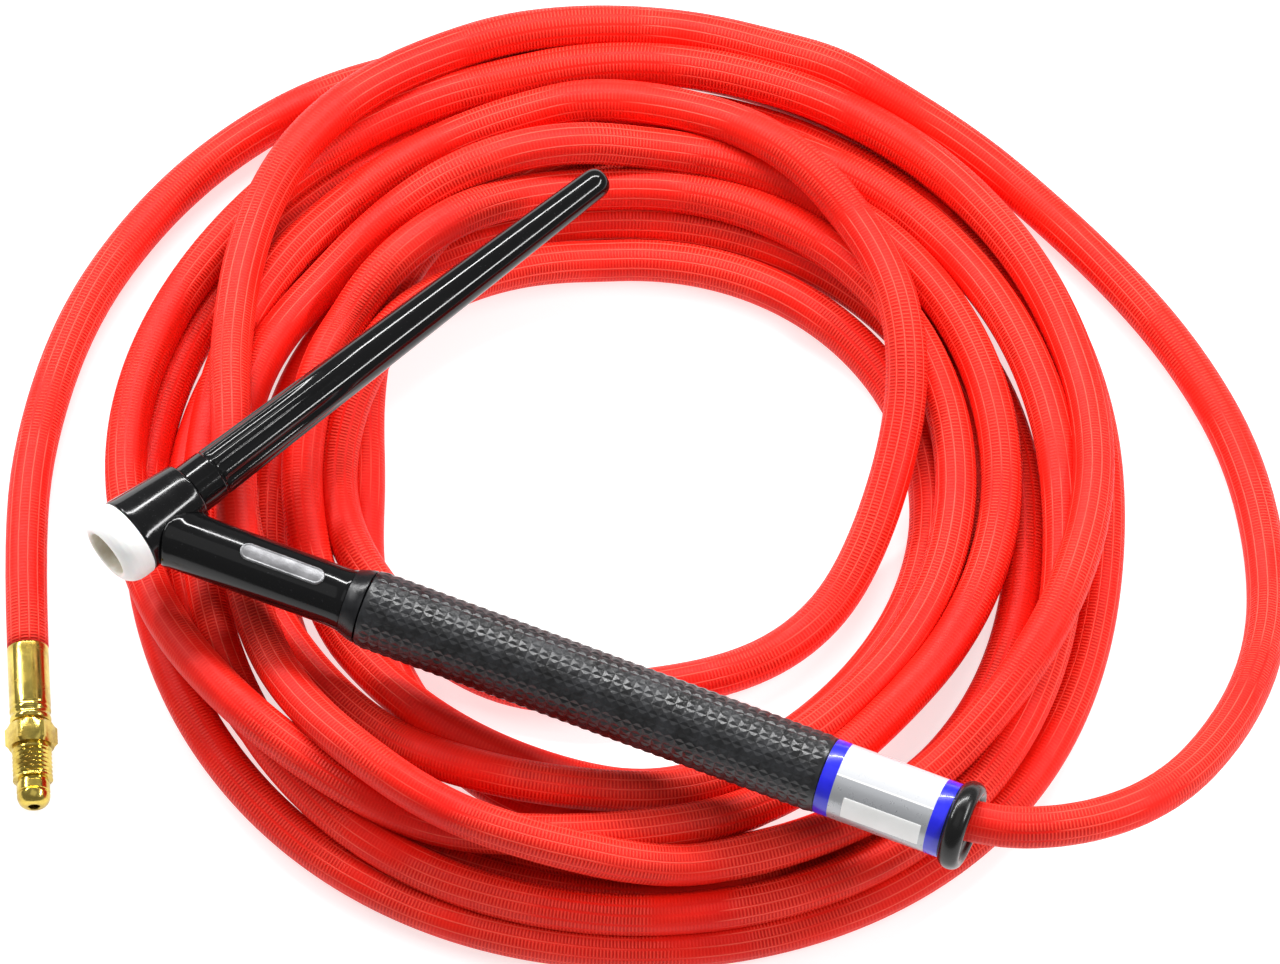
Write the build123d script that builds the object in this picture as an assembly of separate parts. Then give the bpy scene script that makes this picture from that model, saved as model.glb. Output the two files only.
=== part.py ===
"""Gas-cooled TIG torch with a flexible neck, a long back cap and its coiled cable.

Millimetres. The origin is where the head's axis crosses the handle's axis. +X runs
along the handle to the cable, +Z is up, and the back cap leans over the handle in
the XY plane. The torch lies on its own coil of cable, which lies on a flat surface.
"""
import math
import os

from build123d import *

# --- head and back cap: distances run along the head's axis, from the origin to the cap
CAP_ANGLE = 62.0            # between the handle and the back cap, degrees
JACKET_FRONT, JACKET_REAR = -4.9, 15.7
JACKET_FRONT_R, JACKET_REAR_R = 11.2, 8.9
CORE_R = 6.6
NOSE_FRONT, NOSE_R = -9.0, 6.2
COLLET_BORE_R, COLLET_BORE_END = 4.0, 5.4
CORE_PORT_R = 2.6
CORE_REAR = 15.2
CAP_THREAD_BORE_R, CAP_THREAD_START = 5.0, 8.0
GASKET_FRONT, GASKET_MOUTH_R = -13.3, 7.5
CAP_FRONT, CAP_COLLAR_END, CAP_TIP = 15.95, 24.2, 163.0
CAP_COLLAR_R = 7.3
CAP_PROFILE = [(24.9, 7.1), (110.0, 5.4), (159.0, 4.3)]
CAP_TIP_ROUND = 2.4
ELECTRODE_BORE_R, ELECTRODE_BORE_END = 2.6, 157.0
FLUTES, FLUTE_R, FLUTE_DEPTH = 10, 1.0, 0.4
FLUTE_START, FLUTE_END = 27.5, 70.0
THREAD_PLAY = 0.05
O_RING_R, O_RING_SECTION_R, O_RING_AT = 5.85, 0.8, 16.35
O_RING_SEAT_R, O_RING_SEAT_END = 6.75, 17.25

# --- neck: distances run along +X
TUBE_R, TUBE_BORE_R = 3.0, 2.0
SOCKET_R, SOCKET_START, SOCKET_END = 4.6, 6.4, 12.3
SLEEVE_R, SLEEVE_BORE_R = 8.4, 3.4
SLEEVE_START, SLEEVE_END, SLEEVE_PLAY = 4.0, 60.0, 0.3
BADGE_LENGTH, BADGE_WIDTH, BADGE_THICK, BADGE_AT = 24.5, 5.0, 0.5, 40.6
COLLAR_START, COLLAR_END, COLLAR_R = 60.2, 65.0, 10.3
FLEX_TUBE_END, REAR_TUBE_START, REAR_TUBE_END = 66.0, 66.4, 152.0
COUPLING_START, COUPLING_END, COUPLING_R = 62.0, 72.0, 4.5
PLAY = 0.05

# --- handle
HANDLE_START, HANDLE_END = 66.0, 235.5
HANDLE_BORE_R, HANDLE_CORE_R, HANDLE_REAR_R = 7.9, 9.3, 10.3
GRIP_START, GRIP_END, GRIP_R = 65.4, 199.0, 10.85
LABEL_START, LABEL_END, FILM = 199.2, 235.2, 0.15
END_RING_R, END_RING_BORE_R, END_RING_WIDTH = 12.5, 8.2, 6.0
FRONT_BUSH_END = 76.0
MIDDLE_BUSH = (138.0, 146.0)
END_BUSH_START, END_BUSH_BORE_R = 226.0, 7.2

# --- cable joint inside the handle
TAIL_FITTING_START, TAIL_FITTING_END = 146.0, 168.0
NUT_START, NUT_END, NUT_FLATS = 164.0, 176.0, 12.0
NIPPLE_START, NIPPLE_END = 168.3, 200.0
CLAMP_START, CABLE_START, CLAMP_R = 180.0, 204.0, 6.9

# --- cable: the surface that everything lies on, and the points of its two free stretches
FLOOR = -46.0
CABLE_R = 5.75
LYING = FLOOR + CABLE_R
FITTING_HEIGHT = FLOOR + 6.2
LEAD_ROUTE = [
    (CABLE_START, 0, 0), (240, 0, 0), (267, 11.5, -2), (286, 33, -8), (293, 63, -18),
    (291, 94, -30), (279, 124, -39), (261, 150, LYING), (236, 171, LYING),
    (208, 187, LYING), (178, 200, LYING), (147, 208, LYING),
]
TAIL_ROUTE = [
    (8, 175, LYING), (-12, 156, LYING), (-30, 131, LYING), (-42, 103, LYING),
    (-48.5, 70, LYING), (-46, 35, LYING), (-37.5, 3, FITTING_HEIGHT),
    (-23.0, -28.8, FITTING_HEIGHT),
]
COIL_CENTRE, COIL_R = (108.0, 73.5), 143.0
COIL_HOLE_CENTRE, COIL_HOLE_R = (108.0, 79.5), 64.7
COIL_HEIGHT, COIL_ROUND = 33.0, 9.0

# --- machine end: distances run from the cable's end to the nose
END_FERRULE_R, END_FERRULE_BORE_R, END_FERRULE_LENGTH = 5.7, 4.9, 22.6
END_HEX_FLATS, END_HEX_LENGTH, END_GROOVE = 12.4, 6.4, 0.9
END_THREAD_R, END_THREAD_LENGTH = 5.5, 10.0
END_NOSE_R, END_NOSE_LENGTH, END_NOSE_ROUND = 4.6, 7.6, 3.4
END_BORE_R = 1.6

HEAD_AXIS = Vector(math.cos(math.radians(CAP_ANGLE)), math.sin(math.radians(CAP_ANGLE)), 0)
HEAD = Plane(origin=(0, 0, 0), x_dir=(0, 0, 1), z_dir=HEAD_AXIS)
NECK = Plane(origin=(0, 0, 0), x_dir=(0, 1, 0), z_dir=(1, 0, 0))


def turned(plane, outline):
    """A solid of revolution about a plane's normal, from (distance, radius) points."""
    points = [(radius, distance) for distance, radius in outline]
    with BuildPart() as solid:
        with BuildSketch(Plane.XZ):
            with BuildLine():
                Polyline(*points, close=True)
            make_face()
        revolve(axis=Axis.Z)
    return plane.location * solid.part


def rod(plane, start, end, radius):
    """A solid cylinder about a plane's normal."""
    return turned(plane, [(start, 0), (start, radius), (end, radius), (end, 0)])


def pipe(plane, start, end, radius, bore):
    """A cylinder with a hole along it."""
    return turned(plane, [(start, bore), (start, radius), (end, radius), (end, bore)])


def hex_rod(plane, start, end, flats):
    """A hexagonal bar, turned so that one flat faces down."""
    prism = extrude(RegularPolygon(flats / 2, 6, major_radius=False), end - start)
    return plane.location * Location((0, 0, start)) * prism


# ---------------------------------------------------------------- head
def jacket_body():
    """The jacket's outside, as a solid."""
    return turned(HEAD, [
        (JACKET_FRONT, 0), (JACKET_FRONT, JACKET_FRONT_R),
        (JACKET_REAR, JACKET_REAR_R), (JACKET_REAR, 0),
    ])


def head_core():
    """Brass body: collet thread in front, cap thread behind, tube socket on its side."""
    body = turned(HEAD, [
        (NOSE_FRONT, 0), (NOSE_FRONT, NOSE_R), (JACKET_FRONT, NOSE_R),
        (JACKET_FRONT, CORE_R), (CORE_REAR, CORE_R), (CORE_REAR, 0),
    ])
    body += rod(NECK, 0, SOCKET_END, SOCKET_R)
    body -= rod(NECK, SOCKET_START, SOCKET_END, TUBE_R + PLAY)
    body -= rod(HEAD, NOSE_FRONT, COLLET_BORE_END, COLLET_BORE_R)
    body -= rod(HEAD, 0, CORE_REAR, CORE_PORT_R)
    body -= rod(HEAD, CAP_THREAD_START, CORE_REAR, CAP_THREAD_BORE_R)
    return body - rod(NECK, 0, SOCKET_END, TUBE_BORE_R - 0.5)


def head_jacket():
    """Moulded insulation round the brass body, open at both ends and at the neck."""
    shell = jacket_body()
    shell -= rod(HEAD, JACKET_FRONT, JACKET_REAR, CORE_R)
    return shell - rod(NECK, 0, SOCKET_END + 8, SOCKET_R)


def cup_gasket():
    """White heat shield on the nose, with a crowned front and a flared mouth."""
    return turned(HEAD, [
        (JACKET_FRONT, NOSE_R), (JACKET_FRONT, JACKET_FRONT_R),
        (-9.6, JACKET_FRONT_R), (-11.6, 10.6), (-12.9, 9.4), (GASKET_FRONT, 8.2),
        (GASKET_FRONT + 0.3, GASKET_MOUTH_R), (NOSE_FRONT, NOSE_R + 0.3), (NOSE_FRONT, NOSE_R),
    ])


# ---------------------------------------------------------------- back cap
def cap_body():
    """Long insulated cap: plain collar, shallow flutes, slim taper and a rounded tip."""
    tip_r = CAP_PROFILE[-1][1]
    outline = [(CAP_FRONT, O_RING_SEAT_R), (CAP_FRONT, CAP_COLLAR_R),
               (CAP_COLLAR_END, CAP_COLLAR_R - 0.1), (CAP_COLLAR_END + 0.2, 6.7)]
    outline += CAP_PROFILE
    for step in (30, 60):
        angle = math.radians(step)
        outline.append((CAP_PROFILE[-1][0] + (CAP_TIP - CAP_PROFILE[-1][0]) * math.sin(angle),
                        tip_r - CAP_TIP_ROUND * (1 - math.cos(angle))))
    outline += [(CAP_TIP, tip_r - CAP_TIP_ROUND), (CAP_TIP, 0), (ELECTRODE_BORE_END, 0)]
    outline += [(ELECTRODE_BORE_END, ELECTRODE_BORE_R), (22.0, ELECTRODE_BORE_R)]
    outline += [(22.0, CAP_THREAD_BORE_R - THREAD_PLAY)]
    outline += [(O_RING_SEAT_END, CAP_THREAD_BORE_R - THREAD_PLAY)]
    outline += [(O_RING_SEAT_END, O_RING_SEAT_R)]
    body = turned(HEAD, outline)
    (thick_at, thick_r), (thin_at, thin_r) = CAP_PROFILE[:2]
    taper = (thick_r - thin_r) / (thin_at - thick_at)
    front, rear = (Vector(thick_r - taper * (at - thick_at) + FLUTE_R - FLUTE_DEPTH, 0, at)
                   for at in (FLUTE_START, FLUTE_END))
    cutter = Plane(origin=front, z_dir=rear - front).location * Cylinder(
        FLUTE_R, (rear - front).length, align=(Align.CENTER, Align.CENTER, Align.MIN))
    cutter += Location(front) * Sphere(FLUTE_R)
    cutter += Location(rear) * Sphere(FLUTE_R)
    for index in range(FLUTES):
        turn = Location((0, 0, 0), (0, 0, 360 * (index + 0.5) / FLUTES))
        body -= HEAD.location * turn * cutter
    return body


def cap_thread_insert():
    """Brass thread of the cap, bored for the electrode and the collet."""
    return pipe(HEAD, 9.0, 22.0, CAP_THREAD_BORE_R - THREAD_PLAY, ELECTRODE_BORE_R)


def cap_o_ring():
    """Seal between the cap and the head."""
    ring = Torus(O_RING_R, O_RING_SECTION_R)
    return HEAD.location * Location((0, 0, O_RING_AT)) * ring


# ---------------------------------------------------------------- neck
def neck_sleeve():
    """Soft insulation from the head to the handle, saddled onto the jacket."""
    sleeve = pipe(NECK, SLEEVE_START, SLEEVE_END, SLEEVE_R, SLEEVE_BORE_R)
    sleeve -= rod(NECK, SLEEVE_START, SOCKET_END + SLEEVE_PLAY, SOCKET_R + SLEEVE_PLAY)
    return sleeve - turned(HEAD, [
        (GASKET_FRONT, 0), (GASKET_FRONT, JACKET_FRONT_R + SLEEVE_PLAY),
        (JACKET_FRONT, JACKET_FRONT_R + SLEEVE_PLAY),
        (JACKET_REAR, JACKET_REAR_R + SLEEVE_PLAY), (JACKET_REAR, 0),
    ])


def neck_badge():
    """Blank capsule-shaped plate curved over the top of the sleeve."""
    outline = Location((BADGE_AT, 0, 0)) * SlotOverall(BADGE_LENGTH, BADGE_WIDTH)
    inner = SLEEVE_R + 0.02
    band = pipe(NECK, BADGE_AT - BADGE_LENGTH, BADGE_AT + BADGE_LENGTH, inner + BADGE_THICK, inner)
    return extrude(outline, 2 * SLEEVE_R) & band


def neck_collar():
    """Flared front end of the handle, with a concave outside."""
    points = [(COLLAR_START, SLEEVE_BORE_R), (COLLAR_START, SLEEVE_R), (62.0, 8.7),
              (63.6, 9.4), (COLLAR_END, COLLAR_R), (COLLAR_END, COUPLING_R),
              (COUPLING_START, COUPLING_R), (COUPLING_START, SLEEVE_BORE_R)]
    return turned(NECK, points)


def tube_coupling():
    """Brass sleeve that joins the bendable tube to the rigid one."""
    body = pipe(NECK, COUPLING_START, COUPLING_END, COUPLING_R, TUBE_R)
    return body - rod(NECK, COUPLING_START, FLEX_TUBE_END + 0.2, TUBE_R + PLAY)


# ---------------------------------------------------------------- handle
def handle_tube():
    """Rigid tube under the grip, thicker under the label."""
    return turned(NECK, [
        (HANDLE_START, HANDLE_BORE_R), (HANDLE_START, HANDLE_CORE_R), (GRIP_END, HANDLE_CORE_R),
        (GRIP_END, HANDLE_REAR_R), (HANDLE_END, HANDLE_REAR_R), (HANDLE_END, HANDLE_BORE_R),
    ])


def handle_end_ring():
    """Fat rubber bead that closes the handle at the cable."""
    middle = (END_RING_R + END_RING_BORE_R) / 2
    half = (END_RING_R - END_RING_BORE_R) / 2
    outline = []
    for step in range(24):
        angle = 2 * math.pi * step / 24
        outline.append((HANDLE_END + END_RING_WIDTH / 2 * (1 + math.cos(angle)),
                        middle + half * math.sin(angle)))
    return turned(NECK, outline)


def label_bands():
    """Two printed bands, one at each end of the label."""
    radius = HANDLE_REAR_R + FILM
    front = pipe(NECK, LABEL_START, LABEL_START + 4, radius, HANDLE_REAR_R)
    return front + pipe(NECK, LABEL_END - 4, LABEL_END, radius, HANDLE_REAR_R)


def tail_fitting():
    """Brass end of the rigid tube, with a thread and a seat for the cable nipple."""
    body = turned(NECK, [
        (TAIL_FITTING_START, 0), (TAIL_FITTING_START, 5.4), (158.0, 5.4), (158.0, 4.4),
        (TAIL_FITTING_END, 4.4), (TAIL_FITTING_END, 0),
    ])
    body -= rod(NECK, TAIL_FITTING_START, REAR_TUBE_END, TUBE_R)
    return body - rod(NECK, REAR_TUBE_END, TAIL_FITTING_END, TUBE_BORE_R)


def cable_nut():
    """Hexagonal nut that draws the nipple onto its seat."""
    body = hex_rod(NECK, NUT_START, NUT_END, NUT_FLATS)
    body -= rod(NECK, NUT_START, 171.0, 4.4)
    return body - rod(NECK, 171.0, NUT_END, 3.2)


def cable_nipple():
    """Barbed nipple with a collar under the nut."""
    outline = [(NIPPLE_START, 1.5), (NIPPLE_START, 4.2), (170.8, 4.2), (170.8, 3.1), (181.0, 3.1)]
    for barb in range(4):
        start = 181.0 + 4.5 * barb
        outline += [(start, 3.7), (start + 4.5, 3.1)]
    outline += [(NIPPLE_END, 3.1), (NIPPLE_END, 1.5)]
    return turned(NECK, outline)


def clamp_ferrule():
    """Crimped sleeve that holds the cable on the barbs."""
    return pipe(NECK, CLAMP_START, CABLE_START, CLAMP_R, 3.8)


# ---------------------------------------------------------------- cable
def cable_tube(name, route):
    """A cable along straight runs joined by arcs, each as large as its runs allow."""
    points = [Vector(*point) for point in route]
    radii = []
    for before, here, after in zip(points, points[1:], points[2:]):
        run = min((here - before).length, (after - here).length)
        turn = math.radians((here - before).get_angle(after - here))
        radii.append(0.45 * run / math.tan(turn / 2))
    path = FilletPolyline(*points, radius=radii)
    section = Plane(origin=points[0], z_dir=points[1] - points[0]) * Circle(CABLE_R)
    solid = sweep(section, path=path)
    expected = math.pi * CABLE_R ** 2 * path.length
    print(name, "radii", [round(radius) for radius in radii], "length", round(path.length))
    print(name, "volume over section times length", round(solid.volume / expected, 4))
    return solid


def cable_coil():
    """The outer shape of the loose coil: a round-edged ring with an off-centre hole."""
    disc = Location((*COIL_CENTRE, FLOOR + COIL_HEIGHT / 2)) * Cylinder(COIL_R, COIL_HEIGHT)
    disc = fillet(disc.edges().filter_by(GeomType.CIRCLE), COIL_ROUND)
    hole = Location((*COIL_HOLE_CENTRE, FLOOR + COIL_HEIGHT / 2))
    ring = disc - hole * Cylinder(COIL_HOLE_R, 2 * COIL_HEIGHT)
    inner = ring.edges().filter_by(GeomType.CIRCLE).filter_by(
        lambda edge: abs(edge.radius - COIL_HOLE_R) < 0.01)
    return fillet(inner, COIL_ROUND)


# ---------------------------------------------------------------- machine end
END_POINT = Vector(*TAIL_ROUTE[-1])
END_WAY = END_POINT - Vector(*TAIL_ROUTE[-2])
MACHINE = Plane(origin=END_POINT, x_dir=(-END_WAY.Y, END_WAY.X, 0),
                z_dir=(END_WAY.X, END_WAY.Y, 0))


def machine_end_ferrule():
    """Brass ferrule crimped over the cable, with three crimp grooves near its front."""
    length, radius = END_FERRULE_LENGTH, END_FERRULE_R
    outline = [(0, END_FERRULE_BORE_R), (0, radius - 0.4), (0.6, radius)]
    for groove in (13.0, 16.0, 19.0):
        outline += [(groove - 0.5, radius), (groove, radius - 0.25), (groove + 0.5, radius)]
    outline += [(length - 0.4, radius), (length, radius - 0.4), (length, END_FERRULE_BORE_R)]
    return turned(MACHINE, outline)


def machine_end_fitting():
    """Brass fitting: stem in the ferrule, hexagon, thread and a rounded nose."""
    hex_start = END_FERRULE_LENGTH + END_GROOVE
    thread_start = hex_start + END_HEX_LENGTH
    nose_start = thread_start + END_THREAD_LENGTH
    tip = nose_start + END_NOSE_LENGTH
    outline = [(1.0, END_BORE_R), (1.0, END_FERRULE_BORE_R), (thread_start, END_FERRULE_BORE_R),
               (thread_start + 0.8, END_THREAD_R),
               (nose_start - 0.5, END_THREAD_R), (nose_start, END_NOSE_R)]
    for step in range(0, 91, 15):
        angle = math.radians(step)
        outline.append((tip - END_NOSE_ROUND + END_NOSE_ROUND * math.sin(angle),
                        END_NOSE_R - END_NOSE_ROUND * (1 - math.cos(angle)) * 0.8))
    outline.append((tip, END_BORE_R))
    body = turned(MACHINE, outline)
    hexagon = hex_rod(MACHINE, hex_start, thread_start, END_HEX_FLATS)
    hexagon &= turned(MACHINE, [
        (hex_start, END_BORE_R), (hex_start, 6.2), (hex_start + 0.7, 7.3),
        (thread_start - 0.7, 7.3), (thread_start, 6.2), (thread_start, END_BORE_R)])
    return body + hexagon


NODES = {
    "head_core": head_core(),
    "head_jacket": head_jacket(),
    "cup_gasket": cup_gasket(),
    "cap_body": cap_body(),
    "cap_thread_insert": cap_thread_insert(),
    "cap_o_ring": cap_o_ring(),
    "neck_sleeve": neck_sleeve(),
    "neck_flex_tube": pipe(NECK, SOCKET_START + 0.2, FLEX_TUBE_END, TUBE_R, TUBE_BORE_R),
    "neck_badge": neck_badge(),
    "neck_collar": neck_collar(),
    "tube_coupling": tube_coupling(),
    "rear_tube": pipe(NECK, REAR_TUBE_START, REAR_TUBE_END, TUBE_R, TUBE_BORE_R),
    "handle_tube": handle_tube(),
    "handle_grip": pipe(NECK, GRIP_START, GRIP_END, GRIP_R, HANDLE_CORE_R),
    "handle_label": pipe(NECK, LABEL_START + 4, LABEL_END - 4, HANDLE_REAR_R + FILM, HANDLE_REAR_R),
    "label_bands": label_bands(),
    "label_film": pipe(NECK, LABEL_START, LABEL_END, HANDLE_REAR_R + 2 * FILM,
                       HANDLE_REAR_R + FILM),
    "handle_end_ring": handle_end_ring(),
    "front_bush": pipe(NECK, HANDLE_START, FRONT_BUSH_END, HANDLE_BORE_R, COUPLING_R)
    - rod(NECK, COUPLING_END, FRONT_BUSH_END, COUPLING_R),
    "middle_bush": pipe(NECK, *MIDDLE_BUSH, HANDLE_BORE_R, TUBE_R),
    "end_bush": pipe(NECK, END_BUSH_START, HANDLE_END - 0.2, HANDLE_BORE_R, END_BUSH_BORE_R),
    "tail_fitting": tail_fitting(),
    "cable_nut": cable_nut(),
    "cable_nipple": cable_nipple(),
    "clamp_ferrule": clamp_ferrule(),
    "cable_lead": cable_tube("lead", LEAD_ROUTE),
    "cable_coil": cable_coil(),
    "cable_tail": cable_tube("tail", TAIL_ROUTE),
    "machine_end_ferrule": machine_end_ferrule(),
    "machine_end_fitting": machine_end_fitting(),
}

os.makedirs("parts", exist_ok=True)
for node, solid in NODES.items():
    export_step(solid, f"parts/{node}.step")
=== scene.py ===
"""Looks of a TIG torch lying on its coil of red cable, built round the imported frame."""
import math

import bmesh
import bpy
import numpy as np
from mathutils import Matrix, Vector


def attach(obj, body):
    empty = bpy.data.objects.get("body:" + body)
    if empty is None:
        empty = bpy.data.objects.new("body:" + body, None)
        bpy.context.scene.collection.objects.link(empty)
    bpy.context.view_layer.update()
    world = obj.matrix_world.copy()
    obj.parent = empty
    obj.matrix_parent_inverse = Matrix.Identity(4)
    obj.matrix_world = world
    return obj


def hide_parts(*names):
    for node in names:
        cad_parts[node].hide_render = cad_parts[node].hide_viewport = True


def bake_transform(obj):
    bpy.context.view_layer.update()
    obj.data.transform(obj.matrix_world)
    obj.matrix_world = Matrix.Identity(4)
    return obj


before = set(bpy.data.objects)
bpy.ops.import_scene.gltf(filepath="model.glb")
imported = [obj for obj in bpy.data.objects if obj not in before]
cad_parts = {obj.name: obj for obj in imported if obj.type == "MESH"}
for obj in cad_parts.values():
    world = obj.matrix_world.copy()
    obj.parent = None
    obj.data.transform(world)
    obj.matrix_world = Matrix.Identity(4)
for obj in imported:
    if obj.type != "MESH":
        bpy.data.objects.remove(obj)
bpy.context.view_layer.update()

MM = 0.001
TURN = 2 * math.pi

# The axes that the pieces are turned about: +X for the neck and the handle, the head's
# own axis for the cap, and the last run of the cable for the machine end.
CAP_ANGLE = math.radians(62.0)
HEAD_AXIS = Vector((math.cos(CAP_ANGLE), math.sin(CAP_ANGLE), 0.0))


def axes(way, origin=(0, 0, 0)):
    """A matrix whose local Z points along way, and whose local X points up."""
    z = Vector(way).normalized()
    x = Vector((0, 0, 1))
    y = z.cross(x)
    turn = Matrix((x, y, z)).transposed().to_4x4()
    return Matrix.Translation(Vector(origin)) @ turn


def point_at(place, radius, angle, at):
    """The point at a radius, an angle and a distance along place's local Z, from mm."""
    return place @ (Vector((radius * math.cos(angle), radius * math.sin(angle), at)) * MM)


HEAD = axes(HEAD_AXIS)
NECK = axes((1, 0, 0))

# ---------------------------------------------------------------- camera
VIEW_TURN = math.radians(21.9)       # the picture's right, from +X towards +Y
VIEW_TILT = math.radians(65.0)       # above the surface
VIEW_AIM = Vector((0.1146, 0.0753, -0.030))
VIEW_DISTANCE = 8.0
VIEW_WIDTH = 0.3485                  # seen at the aim point
SENSOR = 36.0


def make_camera():
    """A long lens, so that near and far strands look nearly the same size."""
    right = Vector((math.cos(VIEW_TURN), math.sin(VIEW_TURN), 0))
    ahead = Vector((-math.sin(VIEW_TURN), math.cos(VIEW_TURN), 0))
    back = -ahead * math.cos(VIEW_TILT) + Vector((0, 0, math.sin(VIEW_TILT)))
    up = back.cross(right)
    data = bpy.data.cameras.new("camera")
    data.sensor_width = SENSOR
    data.lens = SENSOR * VIEW_DISTANCE / VIEW_WIDTH
    data.clip_end = 30
    camera = bpy.data.objects.new("camera", data)
    bpy.context.scene.collection.objects.link(camera)
    turn = Matrix((right, up, back)).transposed().to_4x4()
    camera.matrix_world = Matrix.Translation(VIEW_AIM + back * VIEW_DISTANCE) @ turn
    bpy.context.scene.camera = camera
    bpy.context.scene.view_settings.view_transform = "Standard"


# ---------------------------------------------------------------- the cable's line
FLOOR = -46 * MM
CABLE_D = 11.5 * MM
LYING = -40.25                       # height of a strand that lies on the floor, in mm
FITTING_HEIGHT = -39.8
LEAD = [
    (204, 0, 0), (240, 0, 0), (267, 11.5, -2), (286, 33, -8), (293, 63, -18),
    (291, 94, -30), (279, 124, -39), (261, 150, LYING), (236, 171, LYING),
    (208, 187, LYING),
]
TAIL = [
    (-12, 156, LYING), (-30, 131, LYING), (-42, 103, LYING), (-48.5, 70, LYING),
    (-46, 35, LYING), (-37.5, 3, FITTING_HEIGHT), (-23.0, -28.8, FITTING_HEIGHT),
]
# The loose coil is wound from the tail to the lead, clockwise from above. Each pair is
# how many turns it has made, counted from the side where the tail lies, and its radius
# in mm. A quarter turn on is the far side, and three quarters the near side.
COIL_CENTRE = Vector((113.0, 73.2))
COIL_FLATTENED = 0.975
COIL_RADII = [
    (0.19, 146), (0.25, 137), (0.5, 129), (0.625, 138.5), (0.75, 137), (0.875, 137),
    (1.0, 133), (1.25, 123), (1.5, 119), (1.625, 127), (1.75, 121.5),
    (2.0, 122), (2.25, 100), (2.5, 107), (2.625, 116), (2.75, 114),
    (3.0, 99), (3.1, 97), (3.25, 87), (3.5, 95), (3.625, 94), (3.75, 101),
    (4.0, 73), (4.125, 91), (4.25, 111), (4.5, 117), (4.625, 131.5), (4.75, 130.5), (4.875, 127.5),
    (5.0, 117), (5.125, 118.5), (5.25, 117), (5.375, 95), (5.5, 69.5), (5.625, 61.5), (5.75, 58),
    (6.0, 80.5), (6.25, 75), (6.5, 81.5), (6.625, 83), (6.75, 89),
    (7.0, 90), (7.25, 93), (7.5, 88.5), (7.625, 88.5), (7.75, 95),
    (8.0, 108), (8.125, 105), (8.25, 103), (8.375, 103), (8.5, 101), (8.625, 99), (8.75, 109),
    (9.0, 138), (9.125, 135), (9.25, 132), (9.5, 126), (9.625, 122), (9.75, 120), (9.875, 116),
    (10.0, 108.5), (10.06, 117), (10.125, 135), (10.19, 144), (10.25, 144), (10.33, 141),
    (10.38, 144),
]
POINTS_PER_TURN = 48
SLIPPED = (5.27, 5.68)               # this loop slipped out and lies over all the others
SLOPE = 0.28                         # how steeply a strand climbs over another
NESTLE = 0.92                        # share of the diameter that strands keep apart
OWN = 14                             # points along the strand that count as the strand itself
SWEEPS = 6                           # passes until the heights settle


def coil_radius(turns):
    """The radius after so many turns, smooth through COIL_RADII."""
    last = len(COIL_RADII) - 2
    k = max(i for i in range(last + 1) if COIL_RADII[i][0] <= turns + 1e-9)
    (t0, r0), (t1, r1) = COIL_RADII[max(k - 1, 0)], COIL_RADII[k]
    (t2, r2), (t3, r3) = COIL_RADII[k + 1], COIL_RADII[min(k + 2, last + 1)]
    span = t2 - t1
    slope_1 = (r2 - r0) / (t2 - t0) * span
    slope_2 = (r3 - r1) / (t3 - t1) * span
    s = (turns - t1) / span
    return (r1 * (2 * s ** 3 - 3 * s ** 2 + 1) + slope_1 * (s ** 3 - 2 * s ** 2 + s)
            + r2 * (3 * s ** 2 - 2 * s ** 3) + slope_2 * (s ** 3 - s ** 2))


def stacked(plan, order):
    """Heights above the floor for strands laid one after another, each on those below."""
    diameter = CABLE_D / MM
    run = plan[1:] - plan[:-1]
    away = plan[:, None] - plan[None, :-1]
    along = np.clip((away * run).sum(-1) / (run ** 2).sum(-1), 0, 1)
    gap = np.linalg.norm(away - along[..., None] * run, axis=-1)
    lift = np.sqrt(np.maximum((NESTLE * diameter) ** 2 - gap ** 2, 0))
    index = np.arange(len(plan))
    other = np.abs(index[:, None] - index[None, :-1]) > OWN
    below = (lift > 0) & other & (order[:, None] > order[None, :-1])
    fall = SLOPE * np.linalg.norm(run, axis=1)
    height = np.full(len(plan), diameter / 2)
    for _ in range(SWEEPS):
        for i in np.argsort(order, kind="stable"):
            under = below[i]
            if under.any():
                top = np.maximum(height[:-1], height[1:])[under] + lift[i][under]
                height[i] = max(height[i], top.max())
        for i in range(1, len(plan)):
            height[i] = max(height[i], height[i - 1] - fall[i - 1])
        for i in range(len(plan) - 2, -1, -1):
            height[i] = max(height[i], height[i + 1] - fall[i])
    return height


def coil_points():
    """The turns of the coil, from the tail to the lead, in mm."""
    first, last = COIL_RADII[0][0], COIL_RADII[-1][0]
    count = int((last - first) * POINTS_PER_TURN) + 1
    turns = np.array([first + i / POINTS_PER_TURN for i in range(count)])
    plan = []
    for made in turns:
        angle, radius = TURN * made, coil_radius(made)
        across = -radius * math.cos(angle)
        ahead = radius * COIL_FLATTENED * math.sin(angle)
        plan.append((COIL_CENTRE.x + across * math.cos(VIEW_TURN) - ahead * math.sin(VIEW_TURN),
                     COIL_CENTRE.y + across * math.sin(VIEW_TURN) + ahead * math.cos(VIEW_TURN)))
    plan = np.array(plan)
    order = turns.copy()
    order[(turns > SLIPPED[0]) & (turns < SLIPPED[1])] += last
    height = stacked(plan, order) + FLOOR / MM
    return [(x, y, z) for (x, y), z in zip(plan.tolist(), height.tolist())]


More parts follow.
